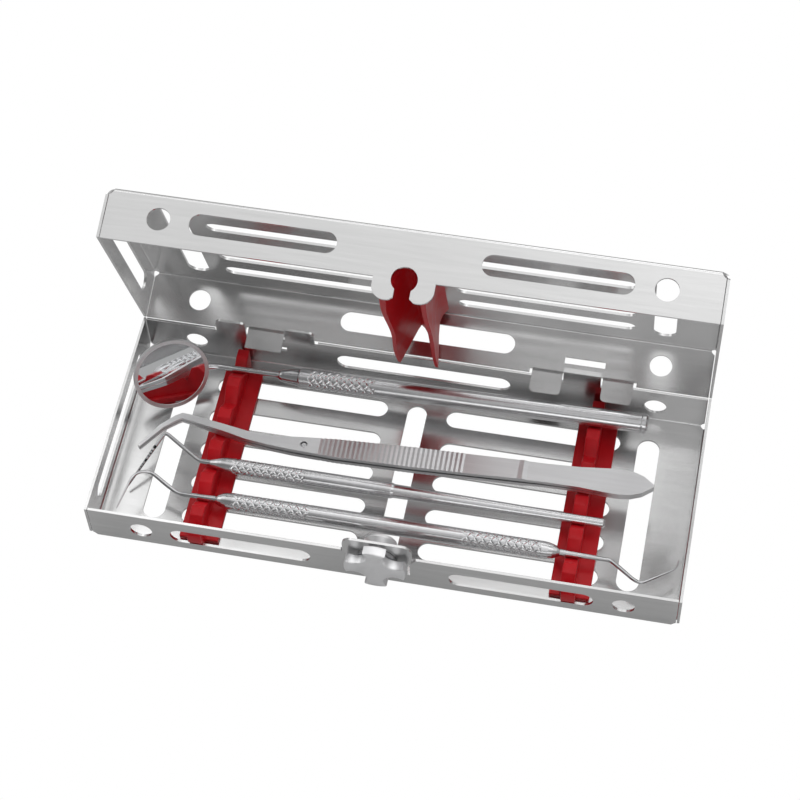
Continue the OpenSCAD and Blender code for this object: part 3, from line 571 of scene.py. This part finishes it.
RAIL_W, RIDGE_W, TAB_W, RIDGE_OFF = 12.2, 4.3, 3.7, 0.8
FRONT_Y, BACK_Y, FOOT_BACK_Y, TAB_TOP_Y = -33.0, 34.1, 29.0, 31.2
FOOT_TOP, RIDGE_END, TOOTH_TOP = SHEET + 1.8, 8.4, 10.4
PLUG_OUT_Y, PLUG_IN_Y, PLUG_LOW, PLUG_HIGH = -36.5, -35.4, 5.5, 9.9
TAB_FRONT_Y, PLUG_BACK_Y = seat_y(0) + 0.6, FRONT_Y + 0.4


def ridge_outline():
    """Toothed ridge seen from the end of the cassette, as (y, z) points."""
    front = FRONT_Y + 0.1
    ramp_y = seat_y(0) + (RIDGE_END - VALLEY) * TOOTH_RUN / TOOTH_RISE
    points = [(front, SHEET), (BACK_Y - 1.6, SHEET), (ramp_y, RIDGE_END - 2.6),
              (ramp_y - 1.4, VALLEY)]
    for place in range(SEATS):
        y = seat_y(place)
        points += [(y, VALLEY), (y - TOOTH_RUN, TOOTH_TOP),
                   (y - SEAT_PITCH + TOOTH_RUN, TOOTH_TOP)]
    return points + [(front, VALLEY)]


TAB_OUTLINE = [(TAB_FRONT_Y, SHEET), (BACK_Y, SHEET), (BACK_Y, RIDGE_END),
               (TAB_TOP_Y, RIDGE_END), (TAB_FRONT_Y, VALLEY)]
FOOT_OUTLINE = [(FRONT_Y, SHEET), (FOOT_BACK_Y, SHEET), (FOOT_BACK_Y, FOOT_TOP),
                (FRONT_Y, FOOT_TOP)]
PLUG_OUTLINE = [(PLUG_OUT_Y, PLUG_LOW), (PLUG_IN_Y, PLUG_LOW), (PLUG_IN_Y, SHEET),
                (PLUG_BACK_Y, SHEET), (PLUG_BACK_Y, PLUG_HIGH), (PLUG_OUT_Y, PLUG_HIGH)]

for label, side in (("left_rail", -1), ("right_rail", 1)):
    middle = side * RAIL_X
    ridge_at = middle - RIDGE_OFF
    for part, outline, center, thickness, rounding in (
            ("_ridge", ridge_outline(), ridge_at, RIDGE_W, 0.4),
            ("_tab", TAB_OUTLINE, ridge_at, TAB_W, 0.35),
            ("_foot", FOOT_OUTLINE, middle, RAIL_W, 0.3),
            ("_plug", PLUG_OUTLINE, middle, RIDGE_W, 0.25)):
        piece = rounded_solid(label + part, outline, center, thickness, rounding)
        dress(piece, SILICONE, "base", "silicone", label)

# %% Lid cushion
CUSHION_START, CUSHION_END, CUSHION_STEPS = -30.6, 30.6, 40
FIN_DROP, SWAY, SWAY_TURNS, SWAY_START = 19.6, 0.45, 1.55, 0.42
PLUG_HALF_L, PLUG_R, PLUG_STEPS = 27.25, 3.05, 16

FRONT_SECTION = [(-6, 0), (-4.6, 2.2), (-4.2, 4.6), (-5.0, 9), (-6.2, 15), (-7.4, 19.2),
                 (-5.4, 19.6), (-4.2, 15.6), (-2.9, 11.2), (-1.7, 7.6), (-0.8, 6.8), (0.2, 7.6),
                 (1.8, 10.4), (3.4, 15.2), (4.9, 19.4), (6.4, 19.4), (5.6, 15), (4.5, 9),
                 (4, 4.6), (4.6, 2.2), (6, 0)]
HINGE_SECTION = [(-6, 0), (-4.6, 2.2), (-4, 4.6), (-4.6, 9), (-5.7, 15), (-6.7, 19.4),
                 (-5.9, 19.6), (-4.5, 15.2), (-3.2, 11.2), (-2.2, 8.0), (-1.5, 6.5), (-0.4, 7.3),
                 (1.9, 10.2), (3.1, 14.3), (5.0, 19.4), (6.0, 19.6), (5.4, 15), (4.4, 9),
                 (4, 4.6), (4.6, 2.2), (6, 0)]


def cushion_section(t):
    """Section in (x, drop below the panel), closed; t runs from the front end to the hinge.

    The fins sway toward their tips, the left one twice as much as the right one.
    """
    out = []
    for (x0, d0), (x1, d1) in zip(FRONT_SECTION, HINGE_SECTION):
        x, drop = x0 + (x1 - x0) * t, d0 + (d1 - d0) * t
        wave = math.sin(2 * math.pi * (SWAY_TURNS * t + SWAY_START))
        sway = SWAY * wave * (drop / FIN_DROP) ** 2
        out.append((x + sway * (1 if x < 0 else 0.5), drop))
    return out


def cushion():
    """Swallow-tailed strip under the lid's panel."""
    rings = []
    for i in range(CUSHION_STEPS + 1):
        y = CUSHION_START + (CUSHION_END - CUSHION_START) * i / CUSHION_STEPS
        rings.append([(x, y, PANEL_Z - drop) for x, drop in cushion_section(i / CUSHION_STEPS)])
    return rings_mesh("swallow_tail_cushion", rings, ON_LID)


tail = cushion()
crease(tail, 35)
dress(tail, SILICONE, "lid", "silicone", "lid_cushion")


def cushion_plug():
    """Tongue that fills the slot in the middle of the lid."""
    outline = []
    for end in (1, -1):
        for i in range(PLUG_STEPS + 1):
            a = math.pi * i / PLUG_STEPS + (0 if end > 0 else math.pi)
            outline.append((PLUG_R * math.cos(a),
                            end * (PLUG_HALF_L - PLUG_R) + PLUG_R * math.sin(a)))
    rings = [[(x, y, z) for x, y in outline] for z in (PANEL_Z, PANEL_Z + SHEET)]
    return rings_mesh("cushion_plug", rings, ON_LID)


plug_piece = cushion_plug()
crease(plug_piece, 35)
dress(plug_piece, SILICONE, "lid", "silicone")
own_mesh(tail)

# %% [markdown]
# ## Instruments
# The grips carry a rolled knurl of crossing grooves, and the bent wires are drawn smooth.

# %% Knurl
GROOVE_SHARE, KNURL_FADE, KNURL_STEP, HANDLE_SIDES = 0.34, 0.4, 0.16, 120


def knurl(start, end, pitch, starts, depth):
    """Depth of two crossing sets of helical grooves between start and end."""
    def groove(phase):
        gap = abs(phase - round(phase)) / (GROOVE_SHARE / 2)
        return (1 + math.cos(math.pi * gap)) / 2 if gap < 1 else 0.0

    def depth_at(x, angle):
        if not start < x < end:
            return 0.0
        fade = min(1.0, (x - start) / KNURL_FADE, (end - x) / KNURL_FADE)
        turn = starts * angle / (2 * math.pi)
        along = (x - start) / pitch
        return depth * fade * max(groove(along + turn), groove(along - turn))

    return depth_at


def handle(name, profile, matrix, body, cad, spans):
    """Turned handle with knurled spans of (start, end, pitch, starts, depth)."""
    cuts = [knurl(*span) for span in spans]
    piece = turned(name, filled(profile, KNURL_STEP), matrix, HANDLE_SIDES,
                   lambda x, a: sum(cut(x, a) for cut in cuts))
    crease(piece, 60)
    dress(piece, HANDLE_STEEL, body, "instrument_steel", cad)


# Ends of the handles along their axes, and the radii of the grips
MIRROR_START, MIRROR_END = 19.0, 128.1
PROBE_START, PROBE_JOINT, PROBE_GRIP_R = -1.1, 56.8, 2.45
EXPLORER_START, EXPLORER_END, EXPLORER_GRIP_R = 3.3, 110.0, 2.7
AXIS_R, KNURL_PITCH = 0.01, 2.45

handle("mirror_grip", [(MIRROR_START, AXIS_R), (MIRROR_START, 2.6), (19.5, MIRROR_HANDLE_R),
                       (128.0, MIRROR_HANDLE_R), (MIRROR_END, 3.0), (MIRROR_END, AXIS_R)],
       ON_MIRROR, "mirror", "mirror_handle", [(22.4, 43.9, KNURL_PITCH, 6, 0.2)])
handle("probe_handle", [(PROBE_START, AXIS_R), (PROBE_START, 0.95), (0.2, 1.45), (1.4, 1.85),
                        (2.6, 2.15), (4.0, 2.38), (5.4, PROBE_GRIP_R), (56.0, PROBE_GRIP_R),
                        (PROBE_JOINT, 2.15), (PROBE_JOINT, AXIS_R)],
       ON_PROBE, "probe", "probe_grip", [(6.0, 29.0, KNURL_PITCH, 5, 0.17)])
handle("explorer_grip", [(EXPLORER_START, AXIS_R), (EXPLORER_START, EXPLORER_NECK_R), (4.2, 1.7),
                         (5.4, 2.2), (6.8, 2.55), (8.6, EXPLORER_GRIP_R),
                         (104.7, EXPLORER_GRIP_R), (106.5, 2.55), (107.9, 2.2), (109.1, 1.7),
                         (EXPLORER_END, EXPLORER_NECK_R), (EXPLORER_END, AXIS_R)],
       ON_EXPLORER, "explorer", "explorer_handle",
       [(9.4, 33.0, KNURL_PITCH, 5, 0.18), (80.4, 104.2, KNURL_PITCH, 5, 0.18)])

# %% Bent wires
HEAD_TILT, HEAD_TURN = math.radians(65.5), math.radians(-57.2)
HEAD_AXIS = Vector((math.sin(HEAD_TILT) * math.cos(HEAD_TURN),
                    math.sin(HEAD_TILT) * math.sin(HEAD_TURN), math.cos(HEAD_TILT)))
HEAD_LEFT, HEAD_FRONT, HEAD_LIFT, NECK_BEHIND, NECK_ASIDE = 20.1, 8.4, 1, 3.0, 6.0
HEAD_CENTER = Vector((-RAIL_X - HEAD_LEFT, seat_y(MIRROR_PLACE) - HEAD_FRONT,
                      SHEET + HEAD_LIFT + MIRROR_D / 2 * math.sin(HEAD_TILT)))
HEAD_SIDE = (Vector((1, 0, 0)) - HEAD_AXIS * HEAD_AXIS.x).normalized()
NECK_END = HEAD_CENTER - HEAD_AXIS * NECK_BEHIND + HEAD_SIDE * NECK_ASIDE


def on_mirror_axis(x, r):
    """Point of the wire, with its radius, on the axis of the mirror's handle."""
    return (*(ON_MIRROR @ Vector((x, 0, 0))), r)


stem = wire("mirror_neck", [on_mirror_axis(MIRROR_START, 2.7), on_mirror_axis(13.0, 2.0),
                            on_mirror_axis(12.5, MIRROR_STEM_R),
                            on_mirror_axis(-8.5, MIRROR_STEM_R), (*NECK_END, MIRROR_STEM_R)],
            bend=1.8)
dress(stem, TIP_STEEL, "mirror", "tip_steel", "mirror_stem")

# The bent ends as (out, side, up, radius), from the end of the handle
FLIP = Matrix.Scale(-1, 4, (1, 0, 0))
PROBE_ROUTE = [(0, 0, 0, 0.95), (3.6, 0, 0, 0.65), (16.4, 7.9, 0.9, 0.585),
               (24.9, -8.8, -6.4, 0.3)]
LEFT_ROUTE = [(0, 0, 0, 1.1), (12, 0, 0, 0.65), (16, 1.9, 0.9, 0.65), (20.6, 4.4, 2, 0.585),
              (22.8, 4.6, 2.6, 0.52), (25, 3.5, 3, 0.455), (26.6, 1.6, 3, 0.39),
              (28.4, -9.8, 3, 0.2)]
RIGHT_ROUTE = [(0, 0, 0, 1.1), (15.2, 0, 0, 0.65), (17.4, -1.4, 0, 0.65), (23.2, -5.5, 0, 0.5525),
               (25.4, -6.2, 0, 0.4875), (35.2, 0.5, 0.2, 0.28), (35.5, 3.4, 0.2, 0.2)]
tip = wire("probe_point", PROBE_ROUTE, ON_PROBE @ Matrix.Translation((PROBE_START, 0, 0)) @ FLIP)
dress(tip, BAND_STEEL, "probe", "tip_steel", "probe_tip")
tip = wire("explorer_left_point", LEFT_ROUTE,
           ON_EXPLORER @ Matrix.Translation((EXPLORER_START, 0, 0)) @ FLIP)
dress(tip, TIP_STEEL, "explorer", "tip_steel", "explorer_left_tip")
tip = wire("explorer_right_point", RIGHT_ROUTE,
           ON_EXPLORER @ Matrix.Translation((EXPLORER_END, 0, 0)))
dress(tip, TIP_STEEL, "explorer", "tip_steel", "explorer_right_tip")

# %% [markdown]
# ## Floor, backdrop and light
# The camera sees a plain white floor and surroundings. The object itself is lit by a grey
# table, a studio ceiling with soft boxes, and a dark screen beside the camera.

# %% Floor and world
TABLE_R, TABLE_Z, TABLE_SIDES = 4000, -0.02, 64
FLOOR_SHARE, WORLD_SHARE = 0.25, 0.1
MIX_A, MIX_B, MIX_RESULT = 6, 7, 2  # colour sockets of the mix node
LAMP_AIM = Vector((0, 0, 0.03))


def background_share(tree, part):
    """White for the camera, and in part for what metal and glass reflect or let through."""
    path = add_node(tree, "ShaderNodeLightPath")
    bent = add_node(tree, "ShaderNodeMath", {0: path.outputs["Is Glossy Ray"],
                                             1: path.outputs["Is Transmission Ray"]},
                    operation="MAXIMUM")
    return add_node(tree, "ShaderNodeMath", {0: bent.outputs[0], 1: part,
                                             2: path.outputs["Is Camera Ray"]},
                    operation="MULTIPLY_ADD").outputs[0]


def floor():
    """Table under the cassette: white to the camera, grey to the object."""
    angles = [2 * math.pi * i / TABLE_SIDES for i in range(TABLE_SIDES)]
    disc = add_mesh("table", [(TABLE_R * math.cos(a), TABLE_R * math.sin(a), TABLE_Z)
                              for a in angles], [tuple(range(TABLE_SIDES))], smooth=False)
    material, tree, shader = new_material("white_table")
    out = tree.nodes["Material Output"]
    where = add_node(tree, "ShaderNodeTexCoord").outputs["Object"]
    paper = add_node(tree, "ShaderNodeTexNoise", {"Vector": where, "Scale": 30.0})
    tone = add_node(tree, "ShaderNodeMapRange", {"Value": paper.outputs["Fac"], "To Min": 0.32,
                                                 "To Max": 0.36})
    link_in(tree, shader, "Base Color", tone.outputs["Result"])
    shader.inputs["Roughness"].default_value = 0.8
    shader.inputs["Specular IOR Level"].default_value = 0.1
    white = add_node(tree, "ShaderNodeEmission", {"Color": (1, 1, 1, 1), "Strength": 1.0})
    mix = add_node(tree, "ShaderNodeMixShader", {0: background_share(tree, FLOOR_SHARE),
                                                 1: shader.outputs[0],
                                                 2: white.outputs[0]})
    tree.links.new(mix.outputs[0], out.inputs["Surface"])
    disc.data.materials.append(material)


def facing(tree, where, toward, span, levels):
    """Level that changes softly with the angle to a direction."""
    angle = add_node(tree, "ShaderNodeVectorMath", {0: where, 1: toward}, operation="DOT_PRODUCT")
    return add_node(tree, "ShaderNodeMapRange", {"Value": angle.outputs["Value"],
                                                 "From Min": span[0], "From Max": span[1],
                                                 "To Min": levels[0], "To Max": levels[1]},
                    interpolation_type="SMOOTHSTEP").outputs["Result"]


def world():
    """Glow from above, with a dark screen beside the camera."""
    sky = bpy.data.worlds.new("studio")
    bpy.context.scene.world = sky
    sky.use_nodes = True
    tree = sky.node_tree
    where = add_node(tree, "ShaderNodeTexCoord").outputs["Generated"]
    glow = facing(tree, where, (0.10, 0.45, 0.89), (0.50, 0.86), (0.30, 0.94))
    screen = facing(tree, where, (-0.42, -0.60, 0.68), (0.80, 0.96), (1.0, 0.4))
    light = add_node(tree, "ShaderNodeMath", {0: glow, 1: screen}, operation="MULTIPLY")
    color = add_node(tree, "ShaderNodeMix", data_type="RGBA")
    tree.links.new(background_share(tree, WORLD_SHARE), color.inputs["Factor"])
    tree.links.new(light.outputs[0], color.inputs[MIX_A])
    color.inputs[MIX_B].default_value = (1, 1, 1, 1)
    tree.links.new(color.outputs[MIX_RESULT], tree.nodes["Background"].inputs["Color"])


def soft_box(name, place, size, power):
    """Area lamp of a size in metres and a power in watts, aimed at the cassette."""
    light = bpy.data.lights.new(name, "AREA")
    light.shape = "RECTANGLE"
    light.size, light.size_y = size
    light.energy = power
    lamp = bpy.data.objects.new(name, light)
    bpy.context.scene.collection.objects.link(lamp)
    lamp.location = place
    lamp.rotation_euler = (Vector(place) - LAMP_AIM).to_track_quat("Z", "Y").to_euler()


floor()
world()
soft_box("ceiling", (0.3, 0.2, 0.9), (1.2, 0.8), 0.4)
soft_box("strip", (0.1, 0.22, 0.9), (1.4, 0.12), 0.5)
soft_box("front_box", (0.2, -0.8, 0.35), (0.8, 0.3), 1.0)
soft_box("right_box", (0.12, -0.52, 0.8), (0.5, 0.4), 0.3)
soft_box("left_box", (-0.8, 0.1, 0.55), (0.5, 0.5), 0.8)
soft_box("back_box", (0.25, 0.85, 0.65), (0.9, 0.4), 1.2)
